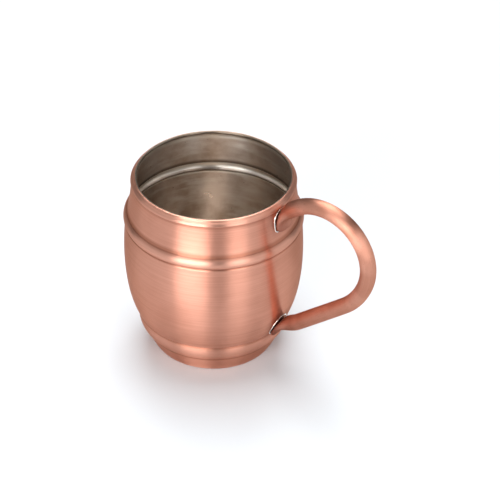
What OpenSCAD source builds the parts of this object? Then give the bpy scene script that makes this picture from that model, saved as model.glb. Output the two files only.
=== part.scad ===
// Barrel-shaped copper mug: a spun copper body with two rolled beads, a tinned inside,
// and a bent copper tube handle whose flattened ends are silver-brazed to the wall.
// The origin is on the table under the centre of the mug. +Z is up and the handle is along +X.

/* [Barrel] */
// Height from the table to the top of the lip
mug_h = 97.3; // [96.5:0.1:100]
// Outer radius of the lip
lip_r = 39.25; // [38.8:0.05:39.6]
// Radius of the outer edge of the flat ring that stands on the table
foot_r = 27.9; // [27:0.1:28.4]
// Radius of the crease between the foot and the lower bead
waist_r = 34.6; // [34:0.1:35.2]
// Radius of the belly's lower edge, over the lower bead
belly_low_r = 37.85; // [37.3:0.05:38.4]
// Radius of the belly's upper edge
belly_top_r = 43.65; // [43:0.05:44.3]
// Radius of the crease above the upper bead
neck_low_r = 42.4; // [41.8:0.1:43]
// Radius of the crease under the lip band
neck_top_r = 40.25; // [39.9:0.05:40.7]
// Length of the two handles of the curve that shapes the belly; longer is rounder
belly_pull = 15; // [11:0.5:17]

/* [Sheet and lining] */
// Thickness of the copper wall
wall_t = 1; // [0.8:0.1:1.4]
// Thickness of the tin on the inside
tin_t = 0.2; // [0.1:0.05:0.3]
// How far the middle of the base is pushed up off the table
base_rise = 1.8; // [1:0.1:2.2]

/* [Beads] */
// How far the lower bead stands out of the line between its creases
low_bead_bulge = 1.4; // [1:0.05:1.5]
// How far the upper bead stands out of the line between its creases
top_bead_bulge = 1.5; // [1.1:0.05:1.7]

/* [Handle] */
// Outer diameter of the handle tube
tube_d = 8; // [7:0.1:9]
// Wall thickness of the handle tube
tube_t = 1; // [0.8:0.1:1.2]
// Radius of the large bend over the fingers
bow_r = 25.8; // [25:0.1:26.5]
// Distance from the mug's axis to the centre of the large bend
bow_x = 64.8; // [64:0.1:66]
// Height of the centre of the large bend
bow_z = 77.1; // [76.5:0.1:78]
// Radius of the slower bend that leads down to the leg
knee_r = 37; // [34:0.5:40]
// Width of the flattened ends
palm_w = 11.8; // [10.5:0.1:13]

/* [Brazing] */
// Thickness of the silver braze under each flattened end
braze_t = 0.3; // [0.2:0.05:0.4]
// How far the braze shows around the flattened end
braze_rim = 0.8; // [0.4:0.1:1.2]

/* [Hidden] */
$fn = 96;

COPPER = [0.79, 0.51, 0.41];
TIN = [0.56, 0.53, 0.48];
SILVER = [0.87, 0.84, 0.80];

// Heights of the creases and edges, from the table up
waist_z = 10.3;
belly_low_z = 19.9;
belly_top_z = 69.5;
groove_z = 71.3;
neck_low_z = 77.1;
neck_top_z = 93.9;

// Step inward and down under the belly's lower edge, and the groove and thin ridge over its upper edge
low_step = [-0.9, -0.5];
groove_depth = 0.4;
ridge_bulge = 0.25;

// Lean of the belly from the vertical at its two ends, in degrees
belly_low_lean = 27.6;
belly_top_lean = -4.5;

// The flat ring of the foot, the rounded corner outside it and the slope inside it
ring_w = 1.5;
corner_w = 2.2;
corner_h = 1.15;
corner_bulge = -0.3;
slope_w = 4.5;
foot_bulge = -0.2;

// The band under the lip: its step over the neck, its bulge and the lip's own radius
band_step = 0.45;
band_bulge = -0.3;
neck_hollow = 0.3;
lip_round = wall_t / 2 + 0.3;
lip_z = mug_h - tin_t - lip_round;

// The handle's angles along the two bends, and its flattened ends
bow_start = 128;
bow_end = -16;
knee_end = -51;
leg_len = 33.5;
palm_t = 2 * tube_t + 0.05;
palm_flat = 3.4;
palm_open = 10.5;
palm_corner = 1.5;
upper_palm_z = 82.9;
tube_sides = 32;

// ---- Outlines ----

function unit(v) = v / norm(v);
function left(v) = [-v[1], v[0]];
function polar(r, a) = r * [cos(a), sin(a)];

// Points of the circular arc from a to b whose middle stands "bulge" to the left of the chord
function arc(a, b, bulge, n) =
    let (
        half = norm(b - a) / 2,
        r = (half * half + bulge * bulge) / (2 * bulge),
        c = (a + b) / 2 + left(unit(b - a)) * (bulge - r),
        a0 = atan2(a[1] - c[1], a[0] - c[0]),
        sweep = -4 * atan(bulge / half)
    )
    [for (i = [0:n]) c + polar(abs(r), a0 + sweep * i / n)];

// Points of the cubic curve with end points a and d and handles b and c
function curve(a, b, c, d, n) =
    [for (i = [0:n]) let (t = i / n, s = 1 - t)
        s * s * s * a + 3 * s * s * t * b + 3 * s * t * t * c + t * t * t * d];

// All but the last point, so that stretches join without a repeated point
function open_end(pts) = [for (i = [0:len(pts) - 2]) pts[i]];

function reversed(pts) = [for (i = [len(pts) - 1:-1:0]) pts[i]];

// The outline moved t to its left, with the full thickness kept at its corners
function inset(pts, t) =
    let (last = len(pts) - 1)
    [for (i = [0:last])
        let (
            before = left(unit(pts[max(i, 1)] - pts[max(i, 1) - 1])),
            after = left(unit(pts[min(i, last - 1) + 1] - pts[min(i, last - 1)]))
        )
        pts[i] + t * (before + after) / (1 + before * after)];

// The under side and outside of the copper, from the axis out and up to the lip
ring_in = foot_r - ring_w;
base_outline = concat(
    [[0, base_rise]],
    open_end(curve([ring_in - slope_w, base_rise], [ring_in - slope_w / 2, base_rise],
        [ring_in - slope_w / 2, 0], [ring_in, 0], 8)),
    [[ring_in, 0]],
    open_end(arc([foot_r, 0], [foot_r + corner_w, corner_h], corner_bulge, 5)),
    open_end(arc([foot_r + corner_w, corner_h], [waist_r, waist_z], foot_bulge, 4)));
low_bead = arc([waist_r, waist_z], [belly_low_r, belly_low_z] + low_step, -low_bead_bulge, 10);
belly = curve(
    [belly_low_r, belly_low_z],
    [belly_low_r, belly_low_z] + belly_pull * [sin(belly_low_lean), cos(belly_low_lean)],
    [belly_top_r, belly_top_z] - belly_pull * [sin(belly_top_lean), cos(belly_top_lean)],
    [belly_top_r, belly_top_z], 20);
groove = [belly_top_r - groove_depth, groove_z];
thin_ridge = arc([belly_top_r, belly_top_z], groove, -ridge_bulge, 4);
top_bead = arc(groove, [neck_low_r, neck_low_z], -top_bead_bulge, 10);
neck = arc([neck_low_r, neck_low_z], [neck_top_r, neck_top_z], neck_hollow, 8);
body_outline = concat(
    base_outline, low_bead, open_end(belly), open_end(thin_ridge), open_end(top_bead), neck);

lip_c = [lip_r - lip_round, lip_z];
band = concat(
    open_end(arc([neck_top_r + band_step, neck_top_z + band_step], [lip_r, lip_z], band_bulge, 4)),
    [for (a = [0:15:180]) lip_c + polar(lip_round, a)]);

// The inside of the copper, from the axis out and up, and over the lip to its top
inner_wall = inset(body_outline, wall_t);
tin_under = concat(inner_wall, [for (a = [180:-15:90]) lip_c + polar(lip_round, a)]);

// ---- Handle ----

bow_c = [bow_x, bow_z];
knee_c = bow_c + polar(bow_r - knee_r, bow_end);
leg_top = knee_c + polar(knee_r, knee_end);
leg_dir = polar(1, knee_end - 90);
leg_low = leg_top + leg_len * leg_dir;
bow_top = bow_c + polar(bow_r, bow_start);

// Each flattened end starts at its tip and runs up the wall
lower_tip_dir = unit(belly[2] - belly[0]);
lower_tip = belly[0] - (palm_t / 2 + braze_t) * left(lower_tip_dir);
lower_bend = lower_tip + palm_flat * lower_tip_dir;
upper_tip_dir = unit([neck_top_r, neck_top_z] - [neck_low_r, neck_low_z]);
upper_tip_up = (upper_palm_z - neck_low_z) / upper_tip_dir[1];
upper_tip = neck[0] + upper_tip_up * upper_tip_dir - (palm_t / 2) * left(upper_tip_dir);
upper_bend = upper_tip + palm_flat * upper_tip_dir;
bend_pull = 5;

// Middle line of the tube in the X-Z plane, from the lower tip to the upper tip
tube_path = concat(
    open_end([for (i = [0:3]) lower_tip + (palm_flat * i / 3) * lower_tip_dir]),
    open_end(curve(lower_bend, lower_bend + bend_pull * lower_tip_dir,
        leg_low + bend_pull * leg_dir, leg_low, 10)),
    [leg_low, leg_low - leg_len / 2 * leg_dir],
    [for (i = [0:8]) knee_c + polar(knee_r, knee_end + (bow_end - knee_end) * i / 8)],
    [for (i = [1:24]) bow_c + polar(bow_r, bow_end + (bow_start - bow_end) * i / 24)],
    reversed(open_end(curve(upper_bend, upper_bend + bend_pull * upper_tip_dir,
        bow_top - bend_pull * polar(1, bow_start - 90), bow_top, 10))),
    [for (i = [2:-1:0]) upper_tip + (palm_flat * i / 3) * upper_tip_dir]);

// Distance along the tube from its lower tip to each point of the middle line
function run_up(pts, i = 1, sum = [0]) =
    i == len(pts) ? sum : run_up(pts, i + 1, concat(sum, [sum[i - 1] + norm(pts[i] - pts[i - 1])]));
tube_run = run_up(tube_path);
tube_len = tube_run[len(tube_run) - 1];

function smooth(t) = let (c = min(1, max(0, t))) c * c * (3 - 2 * c);
function mix(a, b, t) = a + (b - a) * t;
function power(v, e) = sign(v) * pow(abs(v), e);

// How round the tube is at a distance from the nearer tip: 0 is flattened and 1 is round
function roundness(d) = smooth((d - palm_flat * 0.8) / palm_open);

// Loss of half width where the corners of the flattened end are rounded off
function corner_cut(d) = d >= palm_corner ? 0
    : palm_corner - sqrt(palm_corner * palm_corner - pow(palm_corner - d, 2));

// One cross-section of the tube, pulled in by "skin"; flattened parts bend around the barrel
function tube_section(i, skin) =
    let (
        last = len(tube_path) - 1,
        along = unit(tube_path[min(i + 1, last)] - tube_path[max(i - 1, 0)]),
        side = left(along),
        d = min(tube_run[i], tube_len - tube_run[i]),
        round_now = roundness(d),
        half_t = mix(palm_t, tube_d, round_now) / 2 - skin,
        half_w = mix(palm_w, tube_d, round_now) / 2 - corner_cut(d) - skin,
        e = mix(0.5, 1, round_now)
    )
    [for (k = [0:tube_sides - 1])
        let (
            a = 360 * k / tube_sides,
            w = half_w * power(sin(a), e),
            wrap = (1 - round_now) * w * w / (2 * neck_top_r),
            p = tube_path[i] + half_t * power(cos(a), e) * side
        )
        [p[0] - wrap, w, p[1]]];

// A closed solid through the tube's cross-sections from point "first" to point "last"
module tube_loft(first, last, skin) {
    rings = last - first;
    points = [for (i = [first:last]) each tube_section(i, skin)];
    walls = [for (r = [0:rings - 1], k = [0:tube_sides - 1])
        let (next = (k + 1) % tube_sides)
        [r * tube_sides + k, r * tube_sides + next,
            (r + 1) * tube_sides + next, (r + 1) * tube_sides + k]];
    low_end = [for (k = [tube_sides - 1:-1:0]) k];
    high_end = [for (k = [0:tube_sides - 1]) rings * tube_sides + k];
    polyhedron(points, concat(walls, [low_end, high_end]), convexity = 6);
}

// ---- Sub-parts ----

module barrel_shell() {
    color(COPPER) rotate_extrude()
        polygon(concat(body_outline, band, reversed(inner_wall)));
}

module tin_lining() {
    color(TIN) rotate_extrude()
        polygon(concat(tin_under, reversed(inset(tin_under, tin_t))));
}

module handle_tube() {
    last = len(tube_path) - 1;
    open = [for (i = [0:last])
        if (roundness(min(tube_run[i], tube_len - tube_run[i])) > 0.2) i];
    color(COPPER) difference() {
        tube_loft(0, last, 0);
        tube_loft(open[0], open[len(open) - 1], tube_t);
    }
}

// A thin patch of braze on a stretch of the wall, centred on the handle
module braze_patch(stretch) {
    half_angle = (palm_w / 2 + braze_rim) / stretch[len(stretch) - 1][0] * 180 / PI;
    color(SILVER) rotate_extrude(angle = 2 * half_angle, start = -half_angle)
        polygon(concat(stretch, reversed(inset(stretch, -braze_t))));
}

module upper_braze() {
    braze_patch([for (p = neck) if (p[1] > upper_palm_z - 2 * braze_rim && p[1] < neck_top_z) p]);
}

module lower_braze() {
    braze_patch([for (i = [0:4]) belly[i]]);
}

barrel_shell();
tin_lining();
handle_tube();
upper_braze();
lower_braze();
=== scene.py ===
"""A copper barrel mug: brushed copper outside, wiped tin inside, and a bent tube handle brazed on.

Everything is in metres in the part's own frame: the table is z = 0, the mug stands on the origin and the
handle is along +X. The shapes come from the CAD nodes: the body and its lining are spun again from their
outlines with finer steps and softer creases, and the handle's skin is smoothed.
"""
import math

import bmesh
import bpy
import numpy as np
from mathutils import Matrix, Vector, noise


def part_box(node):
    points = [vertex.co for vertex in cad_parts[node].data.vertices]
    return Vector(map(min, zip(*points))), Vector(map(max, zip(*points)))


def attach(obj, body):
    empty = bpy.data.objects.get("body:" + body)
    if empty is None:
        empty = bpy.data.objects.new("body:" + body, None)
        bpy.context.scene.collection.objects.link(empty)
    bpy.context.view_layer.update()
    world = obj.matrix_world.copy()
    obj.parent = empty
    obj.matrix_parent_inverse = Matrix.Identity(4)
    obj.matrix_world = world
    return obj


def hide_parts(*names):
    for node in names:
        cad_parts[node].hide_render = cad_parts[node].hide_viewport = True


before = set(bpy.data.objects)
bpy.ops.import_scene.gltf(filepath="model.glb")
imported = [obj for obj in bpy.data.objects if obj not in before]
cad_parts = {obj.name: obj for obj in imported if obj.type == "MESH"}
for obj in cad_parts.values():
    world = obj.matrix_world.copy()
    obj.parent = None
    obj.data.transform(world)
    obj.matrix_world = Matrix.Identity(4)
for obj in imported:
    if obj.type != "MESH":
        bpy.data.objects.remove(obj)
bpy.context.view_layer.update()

MM = 0.001

# ---- Driving values ----

# Spinning the body and the lining
SPIN_STEPS = 224  # points around the mug
RING_GAP = 0.015 * MM  # vertices closer than this in radius and height are on one ring
FINE_STEP = 0.1 * MM  # spacing at which an outline is smoothed
SOFT_CREASE = 0.22 * MM  # how far a crease is rounded
WIDE_BLUR = 1.3 * MM  # a wider rounding, against which ridges and grooves are measured
RIDGE_FULL = 0.15 * MM  # a ridge or groove this high or deep counts in full for the rubbed wear, painted shade and painted highlight that the materials give it
MAX_TURN = math.radians(5)  # most that the outline turns between kept points
MAX_STEP = 2.0 * MM  # longest stretch between kept points
DENT_DEPTH = 0.09 * MM  # how far hand work moves the wall inward
DENT_SIZE = 26.0  # dents per metre, about
FINE_DENTS = 2.3  # how many times closer the smaller dents lie

# Handle
WELD_GAP = 0.002 * MM  # vertices closer than this are one
QUAD_FLATNESS = math.radians(40)  # triangles that meet at less than this can be one quad
QUAD_SQUARENESS = math.radians(60)  # and the quad's corners are within this of square
TUBE_SIDE = 3.9 * MM  # the tube's farthest points along Y are past this
RING_EDGE = 0.9 * MM  # edges around the tube are shorter than this, and edges along it are longer
LINE_BLUR = 2.0 * MM  # how far the tube's middle line is smoothed each way
SKIN_LEVELS = 2  # times that the tube's skin is subdivided

# Brazing around the handle's flattened ends
PALM_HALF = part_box("handle_tube")[1].y  # half the width of a flattened end, the handle's widest part
PALM_CORNER = 1.5 * MM
BEAD_R = 0.32 * MM
BEAD_SPREAD = 1.15  # width over thickness
BEAD_LIFT = 0.1 * MM  # from the wall to the bead's middle
BEAD_UNEVEN = 0.35  # share of the radius that comes and goes
BEAD_LUMPS = 700  # lumps per metre, about
TOP_BEAD = (-0.46 * MM, 2.19 * MM)  # how far the bead's ends are above those of the upper braze
LOW_BEAD = (0.43 * MM, 0.77 * MM)  # and above those of the lower one
BEAD_STEPS = 14

# Stage and camera
FLOOR_HALF = 3.0
VIEW_AZIMUTH = math.radians(36)  # from -Y towards +X
VIEW_ELEVATION = math.radians(35.95)
VIEW_DISTANCE = 1.4475
LENS = 210.6
SHIFT = (0.0726, 0.011)


# ---- Mesh helpers ----

def mesh_object(name, verts, faces, material, slot, node=None):
    """A smooth-shaded piece that rides on the mug, with its material."""
    mesh = bpy.data.meshes.new(name)
    mesh.from_pydata([tuple(v) for v in verts], [], faces)
    mesh.validate()
    mesh.shade_smooth()
    return place(bpy.data.objects.new(name, mesh), material, slot, node)


def place(piece, material, slot, node=None):
    bpy.context.scene.collection.objects.link(piece)
    piece.data.materials.clear()
    piece.data.materials.append(material)
    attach(piece, "root")
    if node:
        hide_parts(node)
    return piece


def add_attribute(piece, name, values):
    """A number or a vector at each of the piece's vertices, for its material."""
    values = np.asarray(values, np.float32)
    kind, field = ("FLOAT", "value") if values.ndim == 1 else ("FLOAT_VECTOR", "vector")
    piece.data.attributes.new(name, kind, "POINT").data.foreach_set(field, values.ravel())


def positions(mesh):
    co = np.empty(3 * len(mesh.vertices))
    mesh.vertices.foreach_get("co", co)
    return co.reshape(-1, 3)


def distance_to(points, node):
    """How far each point is outside the box around a CAD node, in millimetres."""
    low, high = (np.array(corner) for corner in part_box(node))
    gap = np.maximum(np.maximum(low - points, points - high), 0)
    return np.linalg.norm(gap, axis=1) / MM


# ---- Outlines taken from the CAD nodes ----

def cad_outline(node):
    """The (radius, height) points of a turned CAD node: from the axis, around it and back to the axis."""
    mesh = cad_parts[node].data
    co = positions(mesh)
    flat = np.stack([np.hypot(co[:, 0], co[:, 1]), co[:, 2]], 1)
    spots, ring_of = np.unique(np.round(flat / RING_GAP).astype(int), axis=0, return_inverse=True)
    rings = []
    merged = []
    for spot in spots * RING_GAP:
        found = next((i for i, r in enumerate(rings) if abs(r - spot).max() < 2 * RING_GAP), len(rings))
        if found == len(rings):
            rings.append(spot)
        merged.append(found)
    ring_of = [merged[i] for i in ring_of.ravel()]
    near = [set() for _ in rings]
    for edge in mesh.edges:
        a, b = (ring_of[v] for v in edge.vertices)
        if a != b:
            near[a].add(b)
            near[b].add(a)
    here = min((i for i, n in enumerate(near) if len(n) == 1), key=lambda i: rings[i][1])
    order = [here]
    while True:
        ahead = [i for i in near[here] if i not in order[-2:]]
        if not ahead:
            break
        here = ahead[0]
        order.append(here)
    points = [rings[i] for i in order]
    return np.array([[0.0, points[0][1]], *points, [0.0, points[-1][1]]])


def resampled(points):
    """The same line with points every FINE_STEP along it."""
    run = np.concatenate([[0], np.cumsum(np.hypot(*np.diff(points, axis=0).T))])
    at = np.linspace(0, run[-1], int(run[-1] / FINE_STEP))
    return np.stack([np.interp(at, run, points[:, i]) for i in range(2)], 1)


def blurred(points, width):
    """The points smoothed along the outline, which is mirrored past the axis to stay level there."""
    reach = int(4 * width / FINE_STEP)
    bell = np.exp(-0.5 * (np.arange(-reach, reach + 1) * FINE_STEP / width) ** 2)
    bell /= bell.sum()
    flip = np.array([-1, 1])
    padded = np.concatenate([points[reach:0:-1] * flip, points, points[-2:-reach - 2:-1] * flip])
    return np.stack([np.convolve(padded[:, i], bell, "valid") for i in range(2)], 1)


def normals_of(points):
    along = np.gradient(points, axis=0)
    along /= np.hypot(*along.T)[:, None]
    return np.stack([along[:, 1], -along[:, 0]], 1)


def fine_outline(node):
    """The outline with soft creases and few points, and how far each point stands out as a ridge."""
    points = resampled(cad_outline(node))
    soft = blurred(points, SOFT_CREASE)
    ridge = ((soft - blurred(points, WIDE_BLUR)) * normals_of(soft)).sum(1) / RIDGE_FULL
    along = np.gradient(soft, axis=0)
    turn = np.unwrap(np.arctan2(along[:, 1], along[:, 0]))
    kept = [0]
    for i in range(1, len(soft)):
        far = (i - kept[-1]) * FINE_STEP > MAX_STEP
        if far or abs(turn[i] - turn[kept[-1]]) > MAX_TURN or i == len(soft) - 1:
            kept.append(i)
    soft[[0, -1], 0] = 0
    return soft[kept], np.clip(ridge[kept], -1, 1)


def dent(point):
    """How far in the wall lies at a point, from 0 to DENT_DEPTH; the same for the body and its lining."""
    wave = noise.noise(point * DENT_SIZE) + 0.5 * noise.noise(point * DENT_SIZE * FINE_DENTS)
    return DENT_DEPTH * min(1, max(0, 0.5 + 0.5 * wave))


def spin(name, node, material, slot):
    """The outline of a CAD node spun around the axis as one closed mesh."""
    outline, ridge = fine_outline(node)
    verts = []
    tags = []
    starts = []
    for (r, z), level in zip(outline, ridge):
        starts.append(len(verts))
        for k in range(1 if r == 0 else SPIN_STEPS):
            a = 2 * math.pi * k / SPIN_STEPS
            at = Vector((r * math.cos(a), r * math.sin(a), z))
            inward = dent(at) if r > 0 else 0
            verts.append(Vector(((r - inward) * math.cos(a), (r - inward) * math.sin(a), z)))
            tags.append(level)
    faces = []
    for i in range(len(outline) - 1):
        a, b = starts[i], starts[i + 1]
        for k in range(SPIN_STEPS):
            n = (k + 1) % SPIN_STEPS
            if outline[i][0] == 0:
                faces.append((a, b + n, b + k))
            elif outline[i + 1][0] == 0:
                faces.append((a + k, a + n, b))
            else:
                faces.append((a + k, a + n, b + n, b + k))
    piece = mesh_object(name, verts, faces, material, slot, node)
    add_attribute(piece, "ridge", tags)
    return piece


# ---- Handle ----

def welded_skin(node):
    """The outer skin of a CAD node as a bmesh, with its triangles joined back into the loft's quads."""
    bm = bmesh.new()
    bm.from_mesh(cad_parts[node].data)
    bmesh.ops.remove_doubles(bm, verts=bm.verts, dist=WELD_GAP)
    outer = set()
    waiting = [max(bm.verts, key=lambda v: v.co.z)]
    while waiting:
        vertex = waiting.pop()
        if vertex not in outer:
            outer.add(vertex)
            waiting.extend(edge.other_vert(vertex) for edge in vertex.link_edges)
    bmesh.ops.delete(bm, geom=[v for v in bm.verts if v not in outer], context="VERTS")
    bmesh.ops.join_triangles(bm, faces=bm.faces, angle_face_threshold=QUAD_FLATNESS,
                             angle_shape_threshold=QUAD_SQUARENESS)
    return bm


def middle_line(bm):
    """Points (x, z) along the middle of the tube: each ring's farthest vertex along Y."""
    side = []
    for v in bm.verts:
        on_ring = [e.other_vert(v).co.y for e in v.link_edges if e.calc_length() < RING_EDGE]
        if v.co.y > TUBE_SIDE and on_ring and v.co.y > max(on_ring):
            side.append((v.co.x, v.co.z))
    line = [min(side, key=lambda p: p[1])]
    side.remove(line[0])
    while side:
        line.append(min(side, key=lambda p: math.dist(p, line[-1])))
        side.remove(line[-1])
    return np.array(line)


def straightened(co, line):
    """Each point as (along, off the middle line in its plane, y), and the line's direction there."""
    points = resampled(line)
    reach = int(LINE_BLUR / FINE_STEP)
    padded = np.pad(points, ((reach, reach), (0, 0)), mode="reflect", reflect_type="odd")
    flat_top = np.ones(2 * reach + 1) / (2 * reach + 1)
    points = np.stack([np.convolve(padded[:, i], flat_top, "valid") for i in range(2)], 1)
    way = np.gradient(points, axis=0)
    way /= np.hypot(*way.T)[:, None]
    flat = co[:, [0, 2]]
    near = np.array([np.argmin(((points - p) ** 2).sum(1)) for p in flat])
    off = flat - points[near]
    across = off[:, 0] * way[near, 1] - off[:, 1] * way[near, 0]
    along = near * FINE_STEP
    return (np.stack([along, across, co[:, 1]], 1),
            np.stack([way[near, 0], np.zeros(len(co)), way[near, 1]], 1))


def make_handle(material):
    """The CAD handle's skin, smoothed, with the way it was brushed and the distance to its joints."""
    bm = welded_skin("handle_tube")
    line = middle_line(bm)
    mesh = bpy.data.meshes.new("handle")
    bm.to_mesh(mesh)
    bm.free()
    rough = bpy.data.objects.new("handle_rough", mesh)
    bpy.context.scene.collection.objects.link(rough)
    smooth = rough.modifiers.new("smooth", "SUBSURF")
    smooth.levels = smooth.render_levels = SKIN_LEVELS
    fine = bpy.data.meshes.new_from_object(rough.evaluated_get(bpy.context.evaluated_depsgraph_get()))
    bpy.data.objects.remove(rough)
    fine.shade_smooth()
    piece = place(bpy.data.objects.new("handle", fine), material, "copper", "handle_tube")
    straight, way = straightened(positions(fine), line)
    add_attribute(piece, "straight", straight)
    add_attribute(piece, "brushed_way", way)
    length = straight[:, 0].max()
    add_attribute(piece, "from_joint", np.minimum(straight[:, 0], length - straight[:, 0]) / MM)
    return piece


# ---- Materials ----

class Nodes:
    """A short way to build a material's nodes and link them."""

    def __init__(self, name):
        self.material = bpy.data.materials.new(name)
        self.material.use_nodes = True
        self.tree = self.material.node_tree
        self.shader = self.tree.nodes["Principled BSDF"]
        self.place = self.add("ShaderNodeTexCoord").outputs["Object"]

    def add(self, kind, inputs=None, **settings):
        node = self.tree.nodes.new(kind)
        for name, value in settings.items():
            setattr(node, name, value)
        for name, value in (inputs or {}).items():
            self.set(node.inputs[name], value)
        return node

    def set(self, socket, value):
        if isinstance(value, bpy.types.NodeSocket):
            self.tree.links.new(value, socket)
        else:
            socket.default_value = value

    def noise(self, scale, detail=3.0, stretch=(1, 1, 1), roughness=0.5, place=None):
        """Noise in object space; stretch above 1 along an axis packs the pattern tighter there."""
        where = self.add("ShaderNodeMapping", {"Vector": place or self.place, "Scale": stretch})
        return self.add("ShaderNodeTexNoise", {"Vector": where.outputs[0], "Scale": scale,
                                               "Detail": detail, "Roughness": roughness}).outputs["Fac"]

    def ramp(self, value, low, high, to_low=0.0, to_high=1.0):
        return self.add("ShaderNodeMapRange", {"Value": value, "From Min": low, "From Max": high,
                                               "To Min": to_low, "To Max": to_high}).outputs[0]

    def math(self, operation, a, b=0.0):
        node = self.add("ShaderNodeMath", operation=operation)
        self.set(node.inputs[0], a)
        self.set(node.inputs[1], b)
        return node.outputs[0]

    def blend(self, factor, a, b):
        node = self.add("ShaderNodeMix", data_type="RGBA")
        self.set(node.inputs["Factor"], factor)
        self.set(node.inputs["A"], a)
        self.set(node.inputs["B"], b)
        return node.outputs["Result"]

    def bump(self, height, distance, strength=1.0, under=None):
        inputs = {"Height": height, "Distance": distance, "Strength": strength}
        if under is not None:
            inputs["Normal"] = under
        return self.add("ShaderNodeBump", inputs).outputs[0]

    def attribute(self, name, output="Fac"):
        return self.add("ShaderNodeAttribute", attribute_name=name).outputs[output]

    def brushed(self, tangent, amount):
        """Highlights spread across the brush lines, which run along the tangent."""
        self.set(self.shader.inputs["Tangent"], tangent)
        self.set(self.shader.inputs["Anisotropic"], amount)
        self.set(self.shader.inputs["Anisotropic Rotation"], 0.25)

    def around(self):
        return self.add("ShaderNodeTangent", direction_type="RADIAL", axis="Z").outputs[0]

    def finish(self, **inputs):
        for name, value in inputs.items():
            self.set(self.shader.inputs[name.replace("_", " ").title()], value)
        return self.material


COPPER = (0.64, 0.30, 0.215, 1)
COPPER_DARK = (0.42, 0.165, 0.105, 1)
COPPER_PALE = (0.76, 0.40, 0.30, 1)
HANDLE_COPPER = (0.57, 0.265, 0.185, 1)
HEATED_COPPER = (0.33, 0.135, 0.095, 1)
EDGE_TINT = (0.62, 0.48, 0.42, 1)
TIN = (0.70, 0.61, 0.54, 1)
TIN_BROWN = (0.48, 0.37, 0.29, 1)
TIN_PALE = (0.88, 0.83, 0.75, 1)
TIN_DARK = (0.12, 0.085, 0.055, 1)
SILVER = (0.86, 0.83, 0.78, 1)


def brushed_copper():
    """Copper brushed round and round, with painted shade in its creases and grooves, rubbed wear and a
    painted highlight on its ridges, and heat tarnish around the brazed joints.
    """
    m = Nodes("brushed_copper")
    fine = m.noise(1.0, 2.0, (70, 70, 7500))
    coarse = m.noise(1.0, 3.0, (28, 28, 1900))
    cloud = m.noise(38, 4.0)
    drift = m.noise(12, 2.0, (1, 1, 2.5))
    ridge = m.attribute("ridge")
    # how deep a crease or groove lies, for the painted shade there
    groove = m.ramp(ridge, -0.12, -0.7)
    tone = m.blend(m.ramp(cloud, 0.44, 0.62, 0, 0.32), COPPER, COPPER_DARK)
    tone = m.blend(m.ramp(coarse, 0.50, 0.68, 0, 0.27), tone, COPPER_PALE)
    tone = m.blend(m.ramp(coarse, 0.46, 0.32, 0, 0.20), tone, COPPER_DARK)
    # painted shade: creases and grooves darkened
    tone = m.blend(m.math("MULTIPLY", groove, 0.85), tone, COPPER_DARK)
    # rubbed wear and a painted highlight: raised ridges paler
    tone = m.blend(m.ramp(ridge, 0.2, 0.9, 0, 0.45), tone, COPPER_PALE)
    near_joint = m.ramp(m.attribute("from_joint"), 4.5, 0.2)
    heat = m.math("MULTIPLY", near_joint, m.ramp(cloud, 0.35, 0.6, 0.35, 0.9))
    tone = m.blend(heat, tone, HEATED_COPPER)
    rough = m.math("ADD", m.ramp(fine, 0.25, 0.75, 0.30, 0.37), m.ramp(drift, 0.3, 0.7, -0.02, 0.04))
    lines = m.bump(fine, 0.03 * MM, 0.9)
    lines = m.bump(coarse, 0.05 * MM, 0.26, lines)
    m.brushed(m.around(), 0.97)
    return m.finish(base_color=tone, metallic=1.0, roughness=rough, specular_tint=EDGE_TINT, normal=lines)


def satin_copper():
    """The handle's copper, rubbed along its length to a satin, and darker where the brazing heated it."""
    m = Nodes("satin_copper")
    straight = m.attribute("straight", "Vector")
    lines = m.noise(1.0, 3.0, (70, 4200, 4200), place=straight)
    cloud = m.noise(1.0, 4.0, (70, 90, 90), place=straight)
    smudge = m.noise(1.0, 2.0, (85, 60, 60), place=straight)
    pit = m.noise(1100, 2.0)
    near_joint = m.ramp(m.attribute("from_joint"), 18, 5)
    heat = m.math("MULTIPLY", near_joint, m.ramp(cloud, 0.25, 0.55, 0.45, 0.95))
    tone = m.blend(m.ramp(cloud, 0.46, 0.62, 0, 0.42), HANDLE_COPPER, COPPER_DARK)
    tone = m.blend(m.ramp(smudge, 0.52, 0.66, 0, 0.32), tone, COPPER_PALE)
    tone = m.blend(m.ramp(lines, 0.52, 0.68, 0, 0.35), tone, COPPER_PALE)
    tone = m.blend(m.ramp(pit, 0.62, 0.70, 0, 0.45), tone, COPPER_DARK)
    tone = m.blend(heat, tone, HEATED_COPPER)
    rough = m.math("ADD", m.ramp(lines, 0.3, 0.7, 0.42, 0.50), m.ramp(smudge, 0.4, 0.6, -0.02, 0.04))
    m.brushed(m.attribute("brushed_way", "Vector"), 0.85)
    return m.finish(base_color=tone, metallic=1.0, roughness=rough, specular_tint=EDGE_TINT,
                    normal=m.bump(lines, 0.012 * MM, 0.4))


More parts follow.
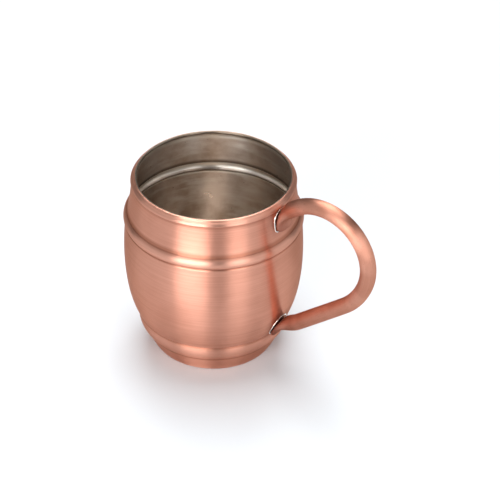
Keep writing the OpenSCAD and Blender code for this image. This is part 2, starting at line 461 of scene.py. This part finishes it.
def wiped_tin():
    """Tin wiped on by hand: uneven, brown in places, with small dark specks, painted shade on its raised
    crease edges and a painted highlight in its grooves, and duller on the bottom.
    """
    m = Nodes("wiped_tin")
    cloud = m.noise(60, 5.0, roughness=0.62)
    wipe = m.noise(1.0, 3.0, (55, 55, 260))
    fleck = m.noise(420, 2.0)
    stain = m.noise(24, 3.0)
    ridge = m.attribute("ridge")
    tone = m.blend(m.ramp(cloud, 0.40, 0.66), TIN, TIN_BROWN)
    tone = m.blend(m.ramp(wipe, 0.48, 0.72, 0, 0.6), tone, TIN_PALE)
    tone = m.blend(m.ramp(stain, 0.56, 0.72, 0, 0.5), tone, TIN_BROWN)
    # painted shade: the lining's raised crease edges darkened
    tone = m.blend(m.ramp(ridge, 0.15, 0.8, 0, 0.8), tone, TIN_DARK)
    # painted highlight: the lining's grooves paler
    tone = m.blend(m.ramp(ridge, -0.2, -0.8, 0, 0.8), tone, TIN_PALE)
    tone = m.blend(m.ramp(fleck, 0.72, 0.78, 0, 0.9), tone, TIN_DARK)
    rough = m.math("ADD", m.ramp(cloud, 0.3, 0.7, 0.29, 0.41), m.ramp(wipe, 0.3, 0.7, -0.03, 0.05))
    height = m.add("ShaderNodeSeparateXYZ", {"Vector": m.place}).outputs["Z"]
    rough = m.math("ADD", rough, m.ramp(height, 5 * MM, 3.5 * MM, 0, 0.16))
    lumps = m.bump(m.noise(70, 1.0), 0.10 * MM, 0.4)
    lumps = m.bump(wipe, 0.04 * MM, 0.5, lumps)
    m.brushed(m.around(), 0.88)
    return m.finish(base_color=tone, metallic=1.0, roughness=rough, normal=lumps)


def silver_braze():
    m = Nodes("silver_braze")
    lump = m.noise(900, 3.0)
    tone = m.blend(m.ramp(lump, 0.5, 0.75, 0, 0.5), SILVER, COPPER_PALE)
    return m.finish(base_color=tone, metallic=1.0, roughness=m.ramp(lump, 0.3, 0.7, 0.16, 0.30),
                    normal=m.bump(lump, 0.05 * MM, 0.5))


def pale_floor():
    m = Nodes("pale_floor")
    return m.finish(base_color=(0.70, 0.74, 0.77, 1), roughness=0.9)


# ---- Brazing ----

def wall_radius(outline, z):
    """The body's outer radius at a height, from the part of its outline between the foot and the lip."""
    outer = outline[:int(np.argmax(outline[:, 1]))]
    rising = outer[int(np.argmin(outer[:, 1])):]
    return float(np.interp(z, rising[:, 1], rising[:, 0]))


def tongue(z_low, z_high):
    """A closed loop of (y, z) points: small corners below, straight sides, and a half circle above."""
    shoulder = z_high - PALM_HALF
    side = PALM_HALF - PALM_CORNER
    loop = []
    for i in range(BEAD_STEPS):
        a = math.pi / 2 * i / (BEAD_STEPS - 1)
        loop.append((side + PALM_CORNER * math.sin(a), z_low + PALM_CORNER * (1 - math.cos(a))))
    for i in range(4 * BEAD_STEPS):
        a = math.pi * (i + 0.5) / (4 * BEAD_STEPS)
        loop.append((PALM_HALF * math.cos(a), shoulder + PALM_HALF * math.sin(a)))
    for i in range(BEAD_STEPS):
        a = math.pi / 2 * (1 - i / (BEAD_STEPS - 1))
        loop.append((-side - PALM_CORNER * math.sin(a), z_low + PALM_CORNER * (1 - math.cos(a))))
    return loop


def braze_bead(name, node, above, outline, material):
    """An uneven bead of silver that follows the edge of a flattened handle end along the wall."""
    low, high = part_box(node)
    path = []
    for y, z in tongue(low.z + above[0], high.z + above[1]):
        r = wall_radius(outline, z) + BEAD_LIFT
        path.append(Vector((math.sqrt(r * r - y * y), y, z)))
    verts = []
    faces = []
    count = len(path)
    for i, p in enumerate(path):
        along = (path[(i + 1) % count] - path[i - 1]).normalized()
        out = Vector((p.x, p.y, 0)).normalized()
        across = along.cross(out).normalized()
        thick = BEAD_R * (1 + BEAD_UNEVEN * noise.noise(p * BEAD_LUMPS))
        for k in range(BEAD_STEPS):
            a = 2 * math.pi * k / BEAD_STEPS
            verts.append(p + thick * (math.cos(a) * out + BEAD_SPREAD * math.sin(a) * across))
            n = (i + 1) % count
            m = (k + 1) % BEAD_STEPS
            faces.append((i * BEAD_STEPS + k, i * BEAD_STEPS + m, n * BEAD_STEPS + m, n * BEAD_STEPS + k))
    return mesh_object(name, verts, faces, material, "braze", node)


# ---- Stage ----

def aim(obj, target):
    obj.rotation_euler = (Vector(target) - obj.location).to_track_quat("-Z", "Y").to_euler()


def from_mug(azimuth_deg, elevation_deg, distance):
    """A point seen from the mug at an azimuth measured from the camera's, to the camera's right."""
    a = VIEW_AZIMUTH + math.radians(azimuth_deg)
    e = math.radians(elevation_deg)
    return Vector((math.sin(a) * math.cos(e), -math.cos(a) * math.cos(e), math.sin(e))) * distance


def softbox(name, azimuth, spread, low, high, distance, level):
    """An upright softbox that covers a range of azimuths and heights as seen from the mug."""
    width = 2 * distance * math.tan(math.radians(spread) / 2)
    add_light(name, from_mug(azimuth, 0, distance) + Vector((0, 0, (low + high) / 2)),
              Vector((0, 0, (low + high) / 2)), (width, high - low), level)


def add_light(name, spot, target, size, level):
    """A rectangular light whose face has the given brightness."""
    light = bpy.data.lights.new(name, "AREA")
    light.shape = "RECTANGLE"
    light.size, light.size_y = size
    light.energy = level * math.pi * size[0] * size[1]
    obj = bpy.data.objects.new(name, light)
    obj.location = spot
    aim(obj, target)
    obj.visible_camera = False
    bpy.context.scene.collection.objects.link(obj)


def make_stage():
    half = FLOOR_HALF
    verts = [(-half, -half, 0), (half, -half, 0), (half, half, 0), (-half, half, 0)]
    mesh = bpy.data.meshes.new("floor")
    mesh.from_pydata(verts, [], [(0, 1, 2, 3)])
    floor = bpy.data.objects.new("floor", mesh)
    bpy.context.scene.collection.objects.link(floor)
    floor.data.materials.append(pale_floor())

    softbox("left_box", -25.5, 37, 0.01, 0.45, 0.6, 6.6)
    softbox("right_box", 28.5, 23, 0.01, 0.45, 0.6, 3.6)
    softbox("far_left_box", -75, 60, 0.01, 0.90, 0.9, 0.6)
    softbox("far_right_box", 72, 62, 0.01, 0.90, 0.9, 0.9)
    add_light("top_box", from_mug(180, 78, 1.6), Vector(), (1.1, 1.1), 5.4)
    add_light("back_box", from_mug(180, 52, 1.6), Vector(), (0.9, 0.5), 7.4)

    world = bpy.data.worlds.new("studio")
    world.use_nodes = True
    world.node_tree.nodes["Background"].inputs["Color"].default_value = (0.98, 0.99, 1.0, 1)
    world.node_tree.nodes["Background"].inputs["Strength"].default_value = 0.16
    bpy.context.scene.world = world
    bpy.context.scene.view_settings.view_transform = "Standard"


def make_camera():
    data = bpy.data.cameras.new("camera")
    data.lens = LENS
    data.shift_x, data.shift_y = SHIFT
    camera = bpy.data.objects.new("camera", data)
    centre = Vector((0, 0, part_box("barrel_shell")[1].z / 2))
    camera.location = centre + from_mug(0, math.degrees(VIEW_ELEVATION), VIEW_DISTANCE)
    aim(camera, centre)
    bpy.context.scene.collection.objects.link(camera)
    bpy.context.scene.camera = camera


# ---- The mug ----

make_camera()
make_stage()
body = spin("barrel", "barrel_shell", brushed_copper(), "copper")
joint_gaps = [distance_to(positions(body.data), node) for node in ("upper_braze", "lower_braze")]
add_attribute(body, "from_joint", np.min(joint_gaps, axis=0))
spin("lining", "tin_lining", wiped_tin(), "tin")
make_handle(satin_copper())

silver = silver_braze()
body_outline = cad_outline("barrel_shell")
braze_bead("braze_top", "upper_braze", TOP_BEAD, body_outline, silver)
braze_bead("braze_low", "lower_braze", LOW_BEAD, body_outline, silver)
